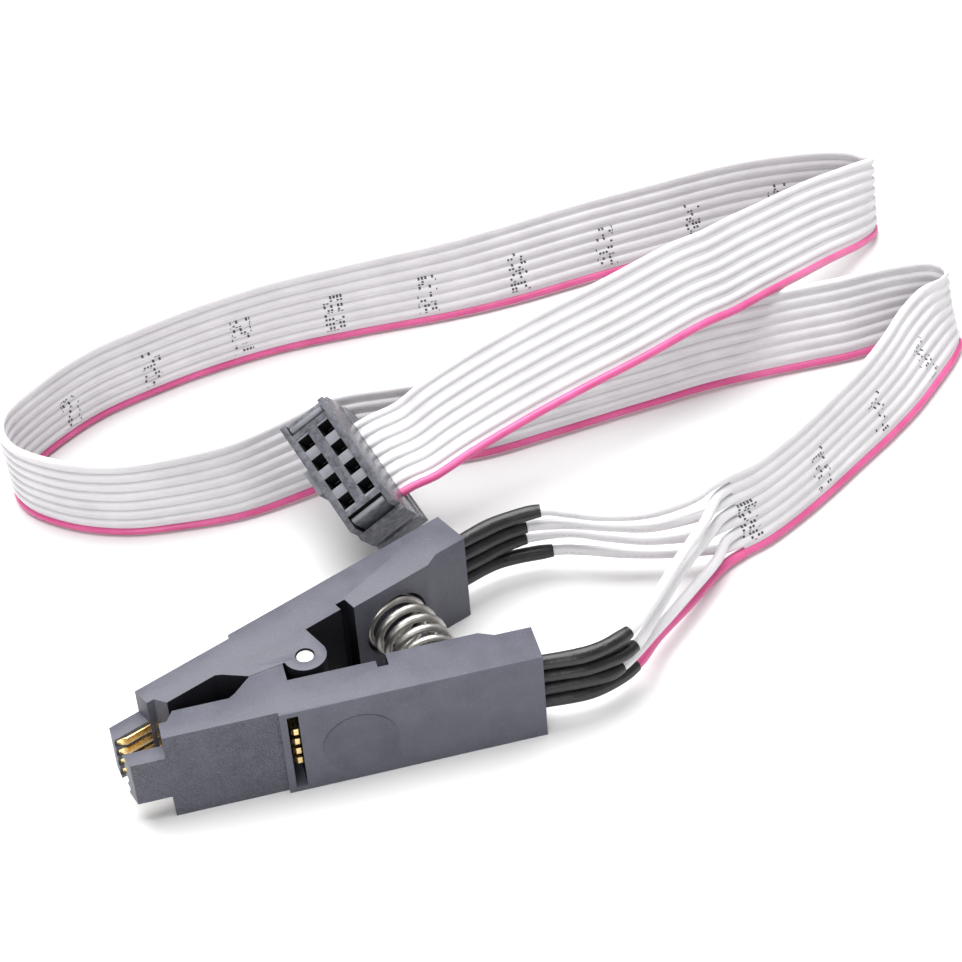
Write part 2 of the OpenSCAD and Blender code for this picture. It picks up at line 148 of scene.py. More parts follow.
def lever_plastic(name, grain=False, shine=1.0, tint=1.0):
    """Moulded blue-grey nylon, with leather grain where grain is true.

    shine below 1 is smoother, and tint below 1 is darker.
    """
    made, tree_nodes, links, shader = new_material(name)
    place = coordinates(tree_nodes, links)
    cloud = noise_texture(tree_nodes, links, place, 0.35, 4)
    low, high = (0.062, 0.063, 0.084), (0.086, 0.088, 0.113)
    colour = ramp(
        tree_nodes, links, cloud, [(0.3, [c * tint for c in low]), (0.7, [c * tint for c in high])]
    )
    dust = noise_texture(tree_nodes, links, place, 7, 3, 0.75)
    specks = ramp(tree_nodes, links, dust, [(0.58, (0, 0, 0)), (0.72, (0.22 * tint,) * 3)])
    colour = mixed(tree_nodes, links, colour, (0.40, 0.41, 0.45, 1.0), specks)
    fine = noise_texture(tree_nodes, links, place, 5, 3, 0.65)
    normal = bump(tree_nodes, links, fine, 0.035 * shine * MM, 0.8)
    if grain:
        crease = leather_creases(tree_nodes, links, place)
        # The creases are darkened towards near-black in colour as well as in relief: painted shade in the creases
        # of the grain.
        painted_crease_shade = ramp(tree_nodes, links, crease, [(0.0, (0.78,) * 3), (1.0, (1, 1, 1))])
        colour = mixed(tree_nodes, links, (0.045, 0.046, 0.058, 1.0), colour, painted_crease_shade)
        normal = bump(tree_nodes, links, crease, 0.1 * MM, 1.0, normal)
    links.new(colour, shader.inputs["Base Color"])
    gloss = ramp(tree_nodes, links, cloud, [(0.3, (0.40 * shine,) * 3), (0.7, (0.52 * shine,) * 3)])
    links.new(gloss, shader.inputs["Roughness"])
    links.new(normal, shader.inputs["Normal"])
    shader.inputs["Specular IOR Level"].default_value = 0.4 * tint
    return made


def merged_copy(node, name):
    """The node's mesh with its doubles merged and its flat faces whole again."""
    mesh = nodes[node].data.copy()
    mesh.name = name
    work = bmesh.new()
    work.from_mesh(mesh)
    bmesh.ops.remove_doubles(work, verts=work.verts, dist=0.002 * MM)
    bmesh.ops.dissolve_limit(
        work, angle_limit=math.radians(0.8), verts=work.verts, edges=work.edges, delimit={"NORMAL"}
    )
    work.to_mesh(mesh)
    work.free()
    mesh.materials.clear()
    made = bpy.data.objects.new(name, mesh)
    bpy.context.scene.collection.objects.link(made)
    return made


def finished(piece):
    """Applies the piece's modifiers, so that it is a plain mesh."""
    graph = bpy.context.evaluated_depsgraph_get()
    mesh = bpy.data.meshes.new_from_object(piece.evaluated_get(graph))
    mesh.name = piece.name
    if piece.type == "MESH":
        piece.modifiers.clear()
        piece.data = mesh
        return piece
    name = piece.name
    bpy.data.objects.remove(piece)
    made = bpy.data.objects.new(name, mesh)
    bpy.context.scene.collection.objects.link(made)
    return made


def rounded_copy(node, name, edge, materials, segments=2):
    """A node's shape with its edges rounded as the tool leaves them."""
    made = merged_copy(node, name)
    for material in materials:
        made.data.materials.append(material)
    bevel = made.modifiers.new("edges", "BEVEL")
    bevel.width = edge
    bevel.segments = segments
    bevel.limit_method = "ANGLE"
    bevel.angle_limit = math.radians(38)
    bevel.use_clamp_overlap = True
    finished(made)
    made.data.shade_smooth()
    made.data.set_sharp_from_angle(angle=math.radians(32))
    return made


def lever_frame(side):
    """Matrix from a lever's own plan to the row frame. side is 1 for far, -1 for near."""
    flip = Matrix.Rotation(math.pi, 4, "X") if side < 0 else Matrix.Identity(4)
    return Matrix.Translation(hinge) @ flip @ Matrix.Rotation(LEVER_ANGLE, 4, "Z")


nylon = [
    lever_plastic("lever_nylon"),
    lever_plastic("lever_nylon_grained", grain=True),
    lever_plastic("lever_nylon_pad", shine=0.8, tint=0.88),
    # The nylon darkened to a seventh, with weak specular: painted shade for the inner faces of the cavity.
    lever_plastic("lever_nylon_inner_painted_shade", tint=0.14),
]
for side, half in ((-1, "near"), (1, "far")):
    lever = rounded_copy(half + "_lever", half + "_lever_moulding", LEVER_EDGE, nylon)
    to_plan = lever_frame(side).inverted()
    for face in lever.data.polygons:
        middle = to_plan @ face.center
        outward, upward = (to_plan.to_3x3() @ face.normal).yz
        if outward > 0.9 and middle.y > GRIP_N and middle.x < GRIP_A:
            face.material_index = 1
        elif outward > 0.9 and middle.y > PAD_N:
            face.material_index = 2
        # Inward-facing faces in the cavity take the near-black copy: painted shade.
        elif max(abs(upward), outward) < 0.5 and middle.y < PAINTED_SHADE_N and PAINTED_SHADE_A[0] < middle.x < PAINTED_SHADE_A[1]:
            face.material_index = 3
    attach(lever, half + "_half")
    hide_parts(half + "_lever")

# Eight sprung strips are stamped from phosphor bronze and gold plated. They are pushed
# into channels of the levers from behind; each shows a pad in its lever's window, and its
# point bears on one of the chip's leads.
CONTACT_EDGE = 0.05 * MM
TIP_PITCH = 1.27
PAD_HALF = 0.37
PAD_PLAN = [(-3.25, 4.1), (-3.0, 6.35), (-2.75, 6.5), (-2.3, 6.5), (-2.3, 4.1)]


def gold_plate():
    made, tree_nodes, links, shader = new_material("gold_plate")
    place = coordinates(tree_nodes, links)
    cloud = noise_texture(tree_nodes, links, place, 1.4, 4)
    links.new(
        ramp(tree_nodes, links, cloud, [(0.3, (0.88, 0.62, 0.26)), (0.7, (0.97, 0.74, 0.38))]),
        shader.inputs["Base Color"],
    )
    shader.inputs["Metallic"].default_value = 1.0
    gloss = ramp(tree_nodes, links, cloud, [(0.3, (0.2,) * 3), (0.75, (0.36,) * 3)])
    links.new(gloss, shader.inputs["Roughness"])
    grain = noise_texture(tree_nodes, links, place, 12)
    links.new(bump(tree_nodes, links, grain, 0.01 * MM), shader.inputs["Normal"])
    return made


def add_pad(strip, half, level):
    """Test pad of a strip, bent outwards so that it shows in the lever's window."""
    place = lever_frame(-1 if half == "near" else 1)
    work = bmesh.new()
    work.from_mesh(strip.data)
    rings = [
        [work.verts.new(place @ Vector((a * MM, n * MM, z * MM))) for a, n in PAD_PLAN]
        for z in (level - PAD_HALF, level + PAD_HALF)
    ]
    made = [work.faces.new(rings[0]), work.faces.new(rings[1][::-1])]
    for k in range(len(PAD_PLAN)):
        after = (k + 1) % len(PAD_PLAN)
        made.append(work.faces.new((rings[0][k], rings[1][k], rings[1][after], rings[0][after])))
    bmesh.ops.recalc_face_normals(work, faces=made)
    work.to_mesh(strip.data)
    work.free()


gold = gold_plate()
for half in ("near", "far"):
    for number in range(1, 5):
        node = f"{half}_contact_{number}"
        strip = rounded_copy(node, f"{half}_strip_{number}", CONTACT_EDGE, [gold])
        add_pad(strip, half, (2.5 - number) * TIP_PITCH * (-1 if half == "near" else 1))
        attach(strip, half + "_half")
        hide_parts(node)

# The hinge pin is a length of bright steel wire, cropped and chamfered at both ends.
# It is pressed through the knuckles and sits a little below both side faces.

WARM = (1, 0.97, 0.92)


def steel(name, dark, light, rough):
    made, tree_nodes, links, shader = new_material(name)
    place = coordinates(tree_nodes, links)
    cloud = noise_texture(tree_nodes, links, place, 1.1, 5, 0.6)
    links.new(
        ramp(tree_nodes, links, cloud, [(0.3, [dark * c for c in WARM]), (0.7, [light * c for c in WARM])]),
        shader.inputs["Base Color"],
    )
    shader.inputs["Metallic"].default_value = 1.0
    links.new(
        ramp(tree_nodes, links, cloud, [(0.25, (rough,) * 3), (0.8, (rough + 0.14,) * 3)]),
        shader.inputs["Roughness"],
    )
    scratch = noise_texture(tree_nodes, links, place, 7, 4, 0.7)
    links.new(bump(tree_nodes, links, scratch, 0.012 * MM, 0.5), shader.inputs["Normal"])
    return made


PIN_CHAMFER = 0.12 * MM
pin_steel = steel("pin_steel", 0.42, 0.55, 0.34)
pin = rounded_copy("hinge_pin", "hinge_pin_steel", PIN_CHAMFER, [pin_steel], 3)
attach(pin, "near_half")
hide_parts("hinge_pin")

# The spring is coiled from hard-drawn steel wire, with a closed turn at each end.
# Its ends stand in the blind seats of the rear arms, and its coils fan out between them.
SPRING_R = 2.85 * MM
SPRING_WIRE = 0.84 * MM
SPRING_TURNS = 8.5
SPRING_BOW = 1.1 * MM
SPRING_STEPS = 28
SPRING_GAP = 0.12 * MM
SEAT_A = 12.2 * MM
SEAT_N = 4.3 * MM
END_PITCH = 0.066
seat_x = hinge.x + SEAT_A * math.cos(LEVER_ANGLE) - SEAT_N * math.sin(LEVER_ANGLE)
seat_y = SEAT_A * math.sin(LEVER_ANGLE) + SEAT_N * math.cos(LEVER_ANGLE)


def round_sweep_tree():
    """Geometry nodes that sweep a round section along a curve, thick as the curve's radius."""
    tree = bpy.data.node_groups.new("round_sweep", "GeometryNodeTree")
    face = tree.interface
    face.new_socket(name="Geometry", in_out="INPUT", socket_type="NodeSocketGeometry")
    face.new_socket(name="Sides", in_out="INPUT", socket_type="NodeSocketInt")
    face.new_socket(name="Material", in_out="INPUT", socket_type="NodeSocketMaterial")
    face.new_socket(name="Geometry", in_out="OUTPUT", socket_type="NodeSocketGeometry")
    made = tree.nodes
    start = made.new("NodeGroupInput")
    end = made.new("NodeGroupOutput")
    parameter = made.new("GeometryNodeSplineParameter")
    along = made.new("GeometryNodeStoreNamedAttribute")
    along.data_type = "FLOAT"
    along.domain = "POINT"
    along.inputs["Name"].default_value = "along"
    circle = made.new("GeometryNodeCurvePrimitiveCircle")
    circle.inputs["Radius"].default_value = 1.0
    around_parameter = made.new("GeometryNodeSplineParameter")
    around = made.new("GeometryNodeStoreNamedAttribute")
    around.data_type = "FLOAT"
    around.domain = "POINT"
    around.inputs["Name"].default_value = "around"
    thickness = made.new("GeometryNodeInputRadius")
    sweep = made.new("GeometryNodeCurveToMesh")
    sweep.inputs["Fill Caps"].default_value = True
    smooth = made.new("GeometryNodeSetShadeSmooth")
    realize = made.new("GeometryNodeRealizeInstances")
    coat = made.new("GeometryNodeSetMaterial")
    link = tree.links.new
    link(start.outputs["Geometry"], along.inputs["Geometry"])
    link(parameter.outputs["Length"], along.inputs["Value"])
    link(start.outputs["Sides"], circle.inputs["Resolution"])
    link(circle.outputs["Curve"], around.inputs["Geometry"])
    link(around_parameter.outputs["Factor"], around.inputs["Value"])
    link(along.outputs["Geometry"], sweep.inputs["Curve"])
    link(around.outputs["Geometry"], sweep.inputs["Profile Curve"])
    link(thickness.outputs["Radius"], sweep.inputs["Scale"])
    link(sweep.outputs["Mesh"], smooth.inputs["Geometry"])
    link(smooth.outputs["Geometry"], realize.inputs["Geometry"])
    link(realize.outputs["Geometry"], coat.inputs["Geometry"])
    link(start.outputs["Material"], coat.inputs["Material"])
    link(coat.outputs["Geometry"], end.inputs["Geometry"])
    return tree


round_sweep = round_sweep_tree()


def swept(name, points, radii, sides, material):
    """A round piece that follows points, as a plain mesh."""
    curve = bpy.data.curves.new(name, "CURVE")
    curve.dimensions = "3D"
    spline = curve.splines.new("POLY")
    spline.points.add(len(points) - 1)
    for slot, point, radius in zip(spline.points, points, radii):
        slot.co = (*point, 1)
        slot.radius = radius
    made = bpy.data.objects.new(name, curve)
    bpy.context.scene.collection.objects.link(made)
    modifier = made.modifiers.new("sweep", "NODES")
    modifier.node_group = round_sweep
    items = round_sweep.interface.items_tree
    keys = {item.name: item.identifier for item in items if item.in_out == "INPUT"}
    modifier[keys["Sides"]] = sides
    modifier[keys["Material"]] = material
    made = finished(made)
    made.data.set_sharp_from_angle(angle=math.radians(50))
    return made


def spring_point(turn):
    """Centre of the wire after so many turns from the near seat."""
    if turn < 1:
        share = END_PITCH * turn
    elif turn > SPRING_TURNS - 1:
        share = 1 - END_PITCH * (SPRING_TURNS - turn)
    else:
        share = END_PITCH + (1 - 2 * END_PITCH) * (turn - 1) / (SPRING_TURNS - 2)
    across = SPRING_R * math.cos(2 * math.pi * turn)
    side = 2 * share - 1
    reach = seat_y - (SPRING_WIRE / 2 + SPRING_GAP) / math.cos(LEVER_ANGLE) + across * math.tan(LEVER_ANGLE)
    return Vector(
        (
            seat_x + SPRING_BOW * (1 - side * side) + across,
            side * reach,
            hinge.z + SPRING_R * math.sin(2 * math.pi * turn),
        )
    )


coil = [spring_point(step / SPRING_STEPS) for step in range(round(SPRING_TURNS * SPRING_STEPS) + 1)]
spring_steel = steel("spring_steel", 0.36, 0.56, 0.34)
spring = swept("coil_spring", coil, [SPRING_WIRE / 2] * len(coil), 14, spring_steel)
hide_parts("spring")
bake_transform(spring)

# Eight single wires of stranded copper in soft grey insulation are split off the ribbon.
# Each is soldered to a strip's tail inside the lever; the edge wire is pink and marks lead one.
WIRE_D = 1.1 * MM
SLEEVE_D = 1.6 * MM
PITCH = 1.27 * MM
NEAR_ROUTES = [
    [(17.6, -9.1, 7.8), (20, -9.7, 7.8), (24.5, -10.9, 7.9), (29, -10.3, 8), (33, -7.8, 8),
     (38, -3.9, 8), (43, -0.3, 8)],
    [(17.6, -9.1, 6.1), (20, -9.7, 6.1), (25, -11, 6.1), (29.5, -10.5, 6.1), (34, -7.1, 6),
     (38.7, -3.2, 5.8), (43.7, 0.1, 5.6)],
    [(17.6, -9.1, 4.4), (20, -9.7, 4.4), (24.5, -10.8, 4.4), (27.8, -10.8, 4.3), (33, -8, 4.1),
     (39.6, -4, 3.6), (44, -1.2, 3.3)],
    [(17.6, -9.1, 2.8), (20, -9.7, 2.7), (25, -10.7, 2.6), (30, -9.6, 2.4), (34, -6.8, 2),
     (39.4, -3.7, 1.5), (44, -0.8, 1)],
]
FAR_ROUTES = [
    [(17.6, 9.1, 7.8), (20, 9.7, 7.8), (25, 10.4, 7.9), (29.6, 9.6, 8.2), (31.9, 7.8, 8.3),
     (34.5, 5.3, 8.6), (38.5, 3, 8.9), (43, 2.5, 9.1)],
    [(17.6, 9.1, 6.1), (20, 9.7, 6.1), (24.5, 10.4, 6.1), (28.2, 10.2, 6.2), (32, 8.3, 6.3),
     (35.5, 5.6, 6.5), (39, 3.2, 6.7), (44, 2.1, 6.8)],
    [(17.6, 9.1, 4.4), (20, 9.7, 4.4), (25, 10.5, 4.4), (28.2, 10.5, 4.4), (32.5, 9, 4.4),
     (35.6, 6.4, 4.4), (39.1, 3.8, 4.4), (44, 1.8, 4.4)],
    [(17.6, 9.1, 2.8), (20, 9.7, 2.7), (25, 10.5, 2.6), (30.6, 9.3, 2.5), (33.5, 7.8, 2.4),
     (37, 5.5, 2.2), (41, 3.3, 2.1), (45, 1.7, 2)],
]
# The ribbon's lower edge conductor: x, y, lift above the table, and lean to its left in degrees
RIBBON_ROUTE = [
    (48.5, 0.9, 0, 18), (51.5, 1.3, 0, 17), (55.5, 2.5, 0, 17), (60.5, 4.4, 0, 18), (66, 6.8, 0, 20),
    (71.5, 9.2, 0, 23), (76.5, 11.7, 0, 28), (81.5, 14.8, 0, 32), (85, 17.2, 0, 28), (86.9, 19.2, 0, 15),
    (86.7, 21.4, 0, 4), (85, 22.6, 0, -5), (81.5, 22.9, 0, -12), (78, 23, 0, -17), (75, 23.3, 0, -18),
    (70, 24.4, 0, -18), (64.5, 25.6, 0, -17), (59, 26.6, 0, -15), (53.5, 27.1, 0, -13), (48, 27.6, 0, -12),
    (40, 28.2, 0, -12), (32, 29, 0, -14), (24, 31.5, 0, -16), (18, 33, 0, -18), (12.5, 32.7, 0, -14),
    (5.5, 32.9, 0, -7), (-1.7, 34.9, 0, -2), (-6.8, 37.1, 0, 0), (-11.4, 40.9, 0, 2), (-14.4, 45.7, 0, 3),
    (-14, 50.2, 0, 2), (-9.9, 53.6, 0, 0), (-2.5, 56.7, 0, 0), (5, 57.8, 0, 0), (12.5, 58.1, 0, 1),
    (20.5, 57.5, 0, 3), (29, 55.8, 0, 6), (40, 53.1, 0, 12), (48, 51.8, 0, 18), (57, 51.1, 0, 20),
    (66, 50.3, 0, 18), (76, 49.6, 0, 13), (84, 48, 0, 7), (88.6, 46.4, 0, 2), (90.6, 44.1, 0, -2),
    (90, 41.6, 0.3, -5), (86.3, 38.9, 1.4, -22), (79.5, 34.9, 4.2, -37), (72.3, 30.1, 7.6, -42),
    (66, 26.5, 10, -41), (60.6, 23.9, 11.5, -40), (55.9, 22.6, 12.3, -40), (47.5, 20.6, 12.5, -42),
    (40, 20.1, 11.7, -45), (33.2, 20.1, 10.3, -50), (27, 20.2, 8.6, -57), (23, 20.4, 7.1, -63),
]
RIBBON_EDGE = 0.56 * MM
RIBBON_T = 0.9 * MM
SOCKET_POS = Vector(frame["record"]["mounts"][2]["pos_m"])
SOCKET_Z = Vector(frame["record"]["mounts"][2]["axis"]).normalized()
SOCKET_Y = SOCKET_Z.cross(Vector((0.141, -0.9, -0.412))).normalized()
SOCKET_X = SOCKET_Y.cross(SOCKET_Z)
SOCKET_W = 5.6 * MM
BODY_H = 6.5 * MM
RIBBON_SLOT = 1.0 * MM
REST_GAP = 0.03 * MM


def route_heading(points, index):
    """Direction of travel at a point of a route."""
    before = points[max(index - 1, 0)]
    after = points[min(index + 1, len(points) - 1)]
    here = points[index]
    back = (here - before).normalized() if index else Vector()
    ahead = (after - here).normalized() if index < len(points) - 1 else Vector()
    return (back + ahead).normalized()


def socket_edge_point(along_width):
    return (
        SOCKET_POS
        + 3.5 * PITCH * SOCKET_X
        + along_width * SOCKET_Y
        - (BODY_H + RIBBON_SLOT / 2) * SOCKET_Z
    )


edge_line = []
for x, y, lift, lean in RIBBON_ROUTE:
    tilt = math.radians(lean)
    bottom = REST_GAP + RIBBON_EDGE * math.cos(tilt) + RIBBON_T / 2 * abs(math.sin(tilt))
    edge_line.append(Vector((x * MM, y * MM, bottom + lift * MM)))
edge_line.append(socket_edge_point(SOCKET_W / 2 + 0.4 * MM))
edge_line.append(socket_edge_point(0.3 * MM - SOCKET_W / 2))
across_line = []
for index in range(len(edge_line)):
    if index >= len(RIBBON_ROUTE):
        across_line.append(-SOCKET_X)
        continue
    ahead = route_heading(edge_line, index)
    left = Vector((0, 0, 1)).cross(ahead).normalized()
    tilt = math.radians(RIBBON_ROUTE[index][3])
    across_line.append(math.cos(tilt) * ahead.cross(left) + math.sin(tilt) * left)


def catmull(a, b, c, d, t):
    """Point at share t of the smooth curve's piece from b to c."""
    square = (2 * a - 5 * b + 4 * c - d) * t * t
    cube = (3 * b - a - 3 * c + d) * t ** 3
    return 0.5 * (2 * b + (c - a) * t + square + cube)


def smooth_line(points, step):
    """The points' Catmull-Rom curve, cut into pieces of about one step."""
    ends = [2 * points[0] - points[1], *points, 2 * points[-1] - points[-2]]
    made = []
    for a, b, c, d in zip(ends, ends[1:], ends[2:], ends[3:]):
        pieces = max(1, round((c - b).length / step))
        for piece in range(pieces):
            made.append(catmull(a, b, c, d, piece / pieces))
    made.append(points[-1])
    return made


def insulation(name, dark, light, ink=None):
    """Soft insulation. ink makes the printed marks' mask."""
    made, tree_nodes, links, shader = new_material(name)
    place = coordinates(tree_nodes, links)
    cloud = noise_texture(tree_nodes, links, place, 0.25, 3)
    colour = ramp(tree_nodes, links, cloud, [(0.3, dark), (0.7, light)])
    if ink:
        colour = mixed(tree_nodes, links, colour, (0.04, 0.04, 0.045, 1.0), ink(tree_nodes, links))
    links.new(colour, shader.inputs["Base Color"])
    gloss = ramp(tree_nodes, links, cloud, [(0.3, (0.30,) * 3), (0.7, (0.40,) * 3)])
    links.new(gloss, shader.inputs["Roughness"])
    shader.inputs["Subsurface Weight"].default_value = 0.08
    shader.inputs["Subsurface Radius"].default_value = (0.4 * MM,) * 3
    waves = noise_texture(tree_nodes, links, place, 1.6, 3)
    links.new(bump(tree_nodes, links, waves, 0.02 * MM, 0.6), shader.inputs["Normal"])
    return made


def arithmetic(tree_nodes, links, operation, first, second):
    made = tree_nodes.new("ShaderNodeMath")
    made.operation = operation
    for socket, value in zip(made.inputs, (first, second)):
        if isinstance(value, (int, float)):
            socket.default_value = value
        else:
            links.new(value, socket)
    return made.outputs[0]


def dotted_runs(tree_nodes, links, along, spacing, run):
    """Mask of short ink dots in runs, at even spacing along a cord."""
    dot = arithmetic(tree_nodes, links, "MODULO", along, 0.8 * MM)
    dot = arithmetic(tree_nodes, links, "LESS_THAN", dot, 0.45 * MM)
    place = arithmetic(tree_nodes, links, "MODULO", along, spacing)
    place = arithmetic(tree_nodes, links, "LESS_THAN", place, run)
    return arithmetic(tree_nodes, links, "MULTIPLY", dot, place)


def band(tree_nodes, links, value, middle, half):
    """Mask that is 1 where the value is within half of middle."""
    away = arithmetic(tree_nodes, links, "SUBTRACT", value, middle)
    away = arithmetic(tree_nodes, links, "ABSOLUTE", away, 0)
    return arithmetic(tree_nodes, links, "LESS_THAN", away, half)


def wire_ink(tree_nodes, links):
    """Ink dots along the upper side of a wire, from its along and around attributes."""
    read = {}
    for name in ("along", "around"):
        source = tree_nodes.new("ShaderNodeAttribute")
        source.attribute_name = name
        read[name] = source.outputs["Fac"]
    dots = dotted_runs(tree_nodes, links, read["along"], 7 * MM, 2.8 * MM)
    row = band(tree_nodes, links, read["around"], 0.27, 0.04)
    return arithmetic(tree_nodes, links, "MULTIPLY", dots, row)


def ribbon_ink(tree_nodes, links):
    """Small groups of scattered ink dots across conductors two to five, by length and width."""
    source = tree_nodes.new("ShaderNodeUVMap")
    source.uv_map = "UVMap"
    split = tree_nodes.new("ShaderNodeSeparateXYZ")
    links.new(source.outputs["UV"], split.inputs["Vector"])
    along, across = split.outputs["X"], split.outputs["Y"]
    groups = arithmetic(tree_nodes, links, "MODULO", along, 11 * MM)
    groups = arithmetic(tree_nodes, links, "LESS_THAN", groups, 2.4 * MM)
    rows = band(tree_nodes, links, across, 2.5 * PITCH, 1.9 * PITCH)
    cells, dots = [], []
    for value in (along, across):
        steps = arithmetic(tree_nodes, links, "DIVIDE", value, 0.4 * MM)
        cells.append(arithmetic(tree_nodes, links, "FLOOR", steps, 0))
        share = arithmetic(tree_nodes, links, "FRACT", steps, 0)
        dots.append(band(tree_nodes, links, share, 0.5, 0.34))
    cell = tree_nodes.new("ShaderNodeCombineXYZ")
    links.new(cells[0], cell.inputs["X"])
    links.new(cells[1], cell.inputs["Y"])
    scatter = tree_nodes.new("ShaderNodeTexWhiteNoise")
    links.new(cell.outputs["Vector"], scatter.inputs["Vector"])
    total = arithmetic(tree_nodes, links, "GREATER_THAN", scatter.outputs["Value"], 0.62)
    for mask in (groups, rows, *dots):
        total = arithmetic(tree_nodes, links, "MULTIPLY", total, mask)
    return total


grey_wire = insulation("grey_wire_insulation", (0.58, 0.57, 0.585), (0.64, 0.63, 0.645), wire_ink)
grey_ribbon = insulation("grey_ribbon_insulation", (0.58, 0.565, 0.585), (0.64, 0.625, 0.645), ribbon_ink)
pink = insulation("pink_insulation", (0.56, 0.07, 0.22), (0.66, 0.11, 0.29))


def split_point(conductor):
    return edge_line[0] + (conductor - 1) * PITCH * across_line[0]


free_wires = []
for half, routes, conductors in (("near", NEAR_ROUTES, (7, 5, 3, 1)), ("far", FAR_ROUTES, (8, 6, 4, 2))):
    for number, (route, conductor) in enumerate(zip(routes, conductors), 1):
        end = split_point(conductor)
        forward = route_heading(edge_line, 0)
        joint = end - 0.3 * MM * forward
        points = [Vector(p) * MM for p in route]
        approach = (joint - points[-1]).normalized()
        points += [joint - 2 * MM * (approach + forward).normalized(), joint, end]
        line = smooth_line(points, 0.5 * MM)
        paint = pink if conductor == 1 else grey_wire
        wire = swept(f"{half}_lead_{number}", line, [WIRE_D / 2] * len(line), 16, paint)
        free_wires.append((wire, half, number, points, line))

# Black heat-shrink sleeves cover the soldered joints. They are shrunk on after soldering,
# so each hugs its wire and swells unevenly over the solder.
def sleeve_rubber():
    made, tree_nodes, links, shader = new_material("sleeve_rubber")
    place = coordinates(tree_nodes, links)
    cloud = noise_texture(tree_nodes, links, place, 0.8, 4)
    links.new(
        ramp(tree_nodes, links, cloud, [(0.35, (0.006,) * 3), (0.75, (0.015, 0.015, 0.018))]),
        shader.inputs["Base Color"],
    )
    gloss = ramp(tree_nodes, links, cloud, [(0.3, (0.26,) * 3), (0.7, (0.42,) * 3)])
    links.new(gloss, shader.inputs["Roughness"])
    wrinkle = noise_texture(tree_nodes, links, place, 2.2, 4, 0.6)
    links.new(bump(tree_nodes, links, wrinkle, 0.06 * MM, 0.8), shader.inputs["Normal"])
    return made


shrink = sleeve_rubber()
draws = random.Random(7)
for wire, half, number, points, line in free_wires:
    start = points[0].lerp(points[1], 0.15)
    first = next(i for i, p in enumerate(line) if (p - points[0]).length >= (start - points[0]).length)
    last = min(range(len(line)), key=lambda i: (line[i] - points[3]).length)
    covered = line[first:last + 1]
    swell = [draws.uniform(-0.04, 0.09) for _ in range(5)]
    radii = []
    for index in range(len(covered)):
        t = index / (len(covered) - 1)
        place = t * (len(swell) - 1)
        low = min(int(place), len(swell) - 2)
        lump = swell[low] + (swell[low + 1] - swell[low]) * (place - low)
        mouth = 0.1 * MM * max(0.0, (t - 0.9) / 0.1)
        radii.append(SLEEVE_D / 2 - 0.03 * MM + lump * MM * math.sin(math.pi * t) - mouth)
    sleeve = swept(f"{half}_shrink_{number}", covered, radii, 20, shrink)
    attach(sleeve, half + "_half")
    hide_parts(f"{half}_sleeve_{number}")
    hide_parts(f"{half}_wire_{number}")
    if half == "near":
        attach(wire, "near_half")
    else:
        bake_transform(wire)

# The ribbon is flat cable: eight conductors side by side in one grey extrusion, with a
# groove between each pair and a pink skin on the edge conductor.
CONDUCTORS = 8
LOBE_R = 0.45 * MM
LOBE_STEPS = 8


def ribbon_section():
    """The section's outline: across, out, the conductor it belongs to, and its place in the map.

    The side without ink has its place in the map moved away from the inked band.
    """
    outline = []
    web = 0.14 * MM
    reach = math.acos(min(1.0, web / LOBE_R))
    for side in (1, -1):
        order = range(CONDUCTORS) if side > 0 else range(CONDUCTORS - 1, -1, -1)
        for lobe in order:
            first = -math.pi / 2 if (lobe == 0) else -reach
            last = math.pi / 2 if (lobe == CONDUCTORS - 1) else reach
            if side < 0:
                first, last = last, first
            for step in range(LOBE_STEPS + 1):
                angle = first + (last - first) * step / LOBE_STEPS
                across = lobe * PITCH + LOBE_R * math.sin(angle)
                mapped = across + (50 * MM if side > 0 else 0)
                outline.append((across, side * LOBE_R * math.cos(angle), lobe, mapped))
    return outline


def ribbon_mesh():
    stations = []
    ends = len(edge_line) - 1
    for index in range(ends):
        pieces = max(2, round((edge_line[index + 1] - edge_line[index]).length / (0.9 * MM)))
        for piece in range(pieces + (index == ends - 1)):
            stations.append((index, piece / pieces))

    def curve(points, index, t):
        """The points' smooth curve at share t of its piece number index."""
        ends = [2 * points[0] - points[1], *points, 2 * points[-1] - points[-2]]
        return catmull(*ends[index:index + 4], t)

    low = [curve(edge_line, *at) for at in stations]
    across = [curve(across_line, *at).normalized() for at in stations]
    section = ribbon_section()
    verts, faces, lobes = [], [], []
    travelled, along = 0.0, []
    for index, (point, wide) in enumerate(zip(low, across)):
        ahead = route_heading(low, index)
        out = wide.cross(ahead).normalized()
        if index:
            behind = low[index - 1] + 3.5 * PITCH * across[index - 1]
            travelled += (point + 3.5 * PITCH * wide - behind).length
        for v, n, _, mapped in section:
            verts.append(point + v * wide + n * out)
            along.append((travelled, mapped))
    count = len(section)
    for ring in range(len(low) - 1):
        for k in range(count):
            a, b = ring * count + k, ring * count + (k + 1) % count
            faces.append((a, b, b + count, a + count))
            lobes.append(0 if section[k][2] == 0 and section[(k + 1) % count][2] == 0 else 1)
    faces.append(tuple(range(count - 1, -1, -1)))
    faces.append(tuple((len(low) - 1) * count + k for k in range(count)))
    lobes += [1, 1]
    mesh = bpy.data.meshes.new("ribbon_cable")
    mesh.from_pydata([tuple(v) for v in verts], [], faces)
    mesh.materials.append(pink)
    mesh.materials.append(grey_ribbon)
    mesh.polygons.foreach_set("material_index", lobes)
    layer = mesh.uv_layers.new(name="UVMap")
    loops = np.zeros(len(mesh.loops), int)
    mesh.loops.foreach_get("vertex_index", loops)
    layer.data.foreach_set("uv", np.array(along)[loops].ravel())
    mesh.shade_smooth()
    mesh.set_sharp_from_angle(angle=math.radians(50))
    return mesh, [point + 3.5 * PITCH * wide for point, wide in zip(low, across)]


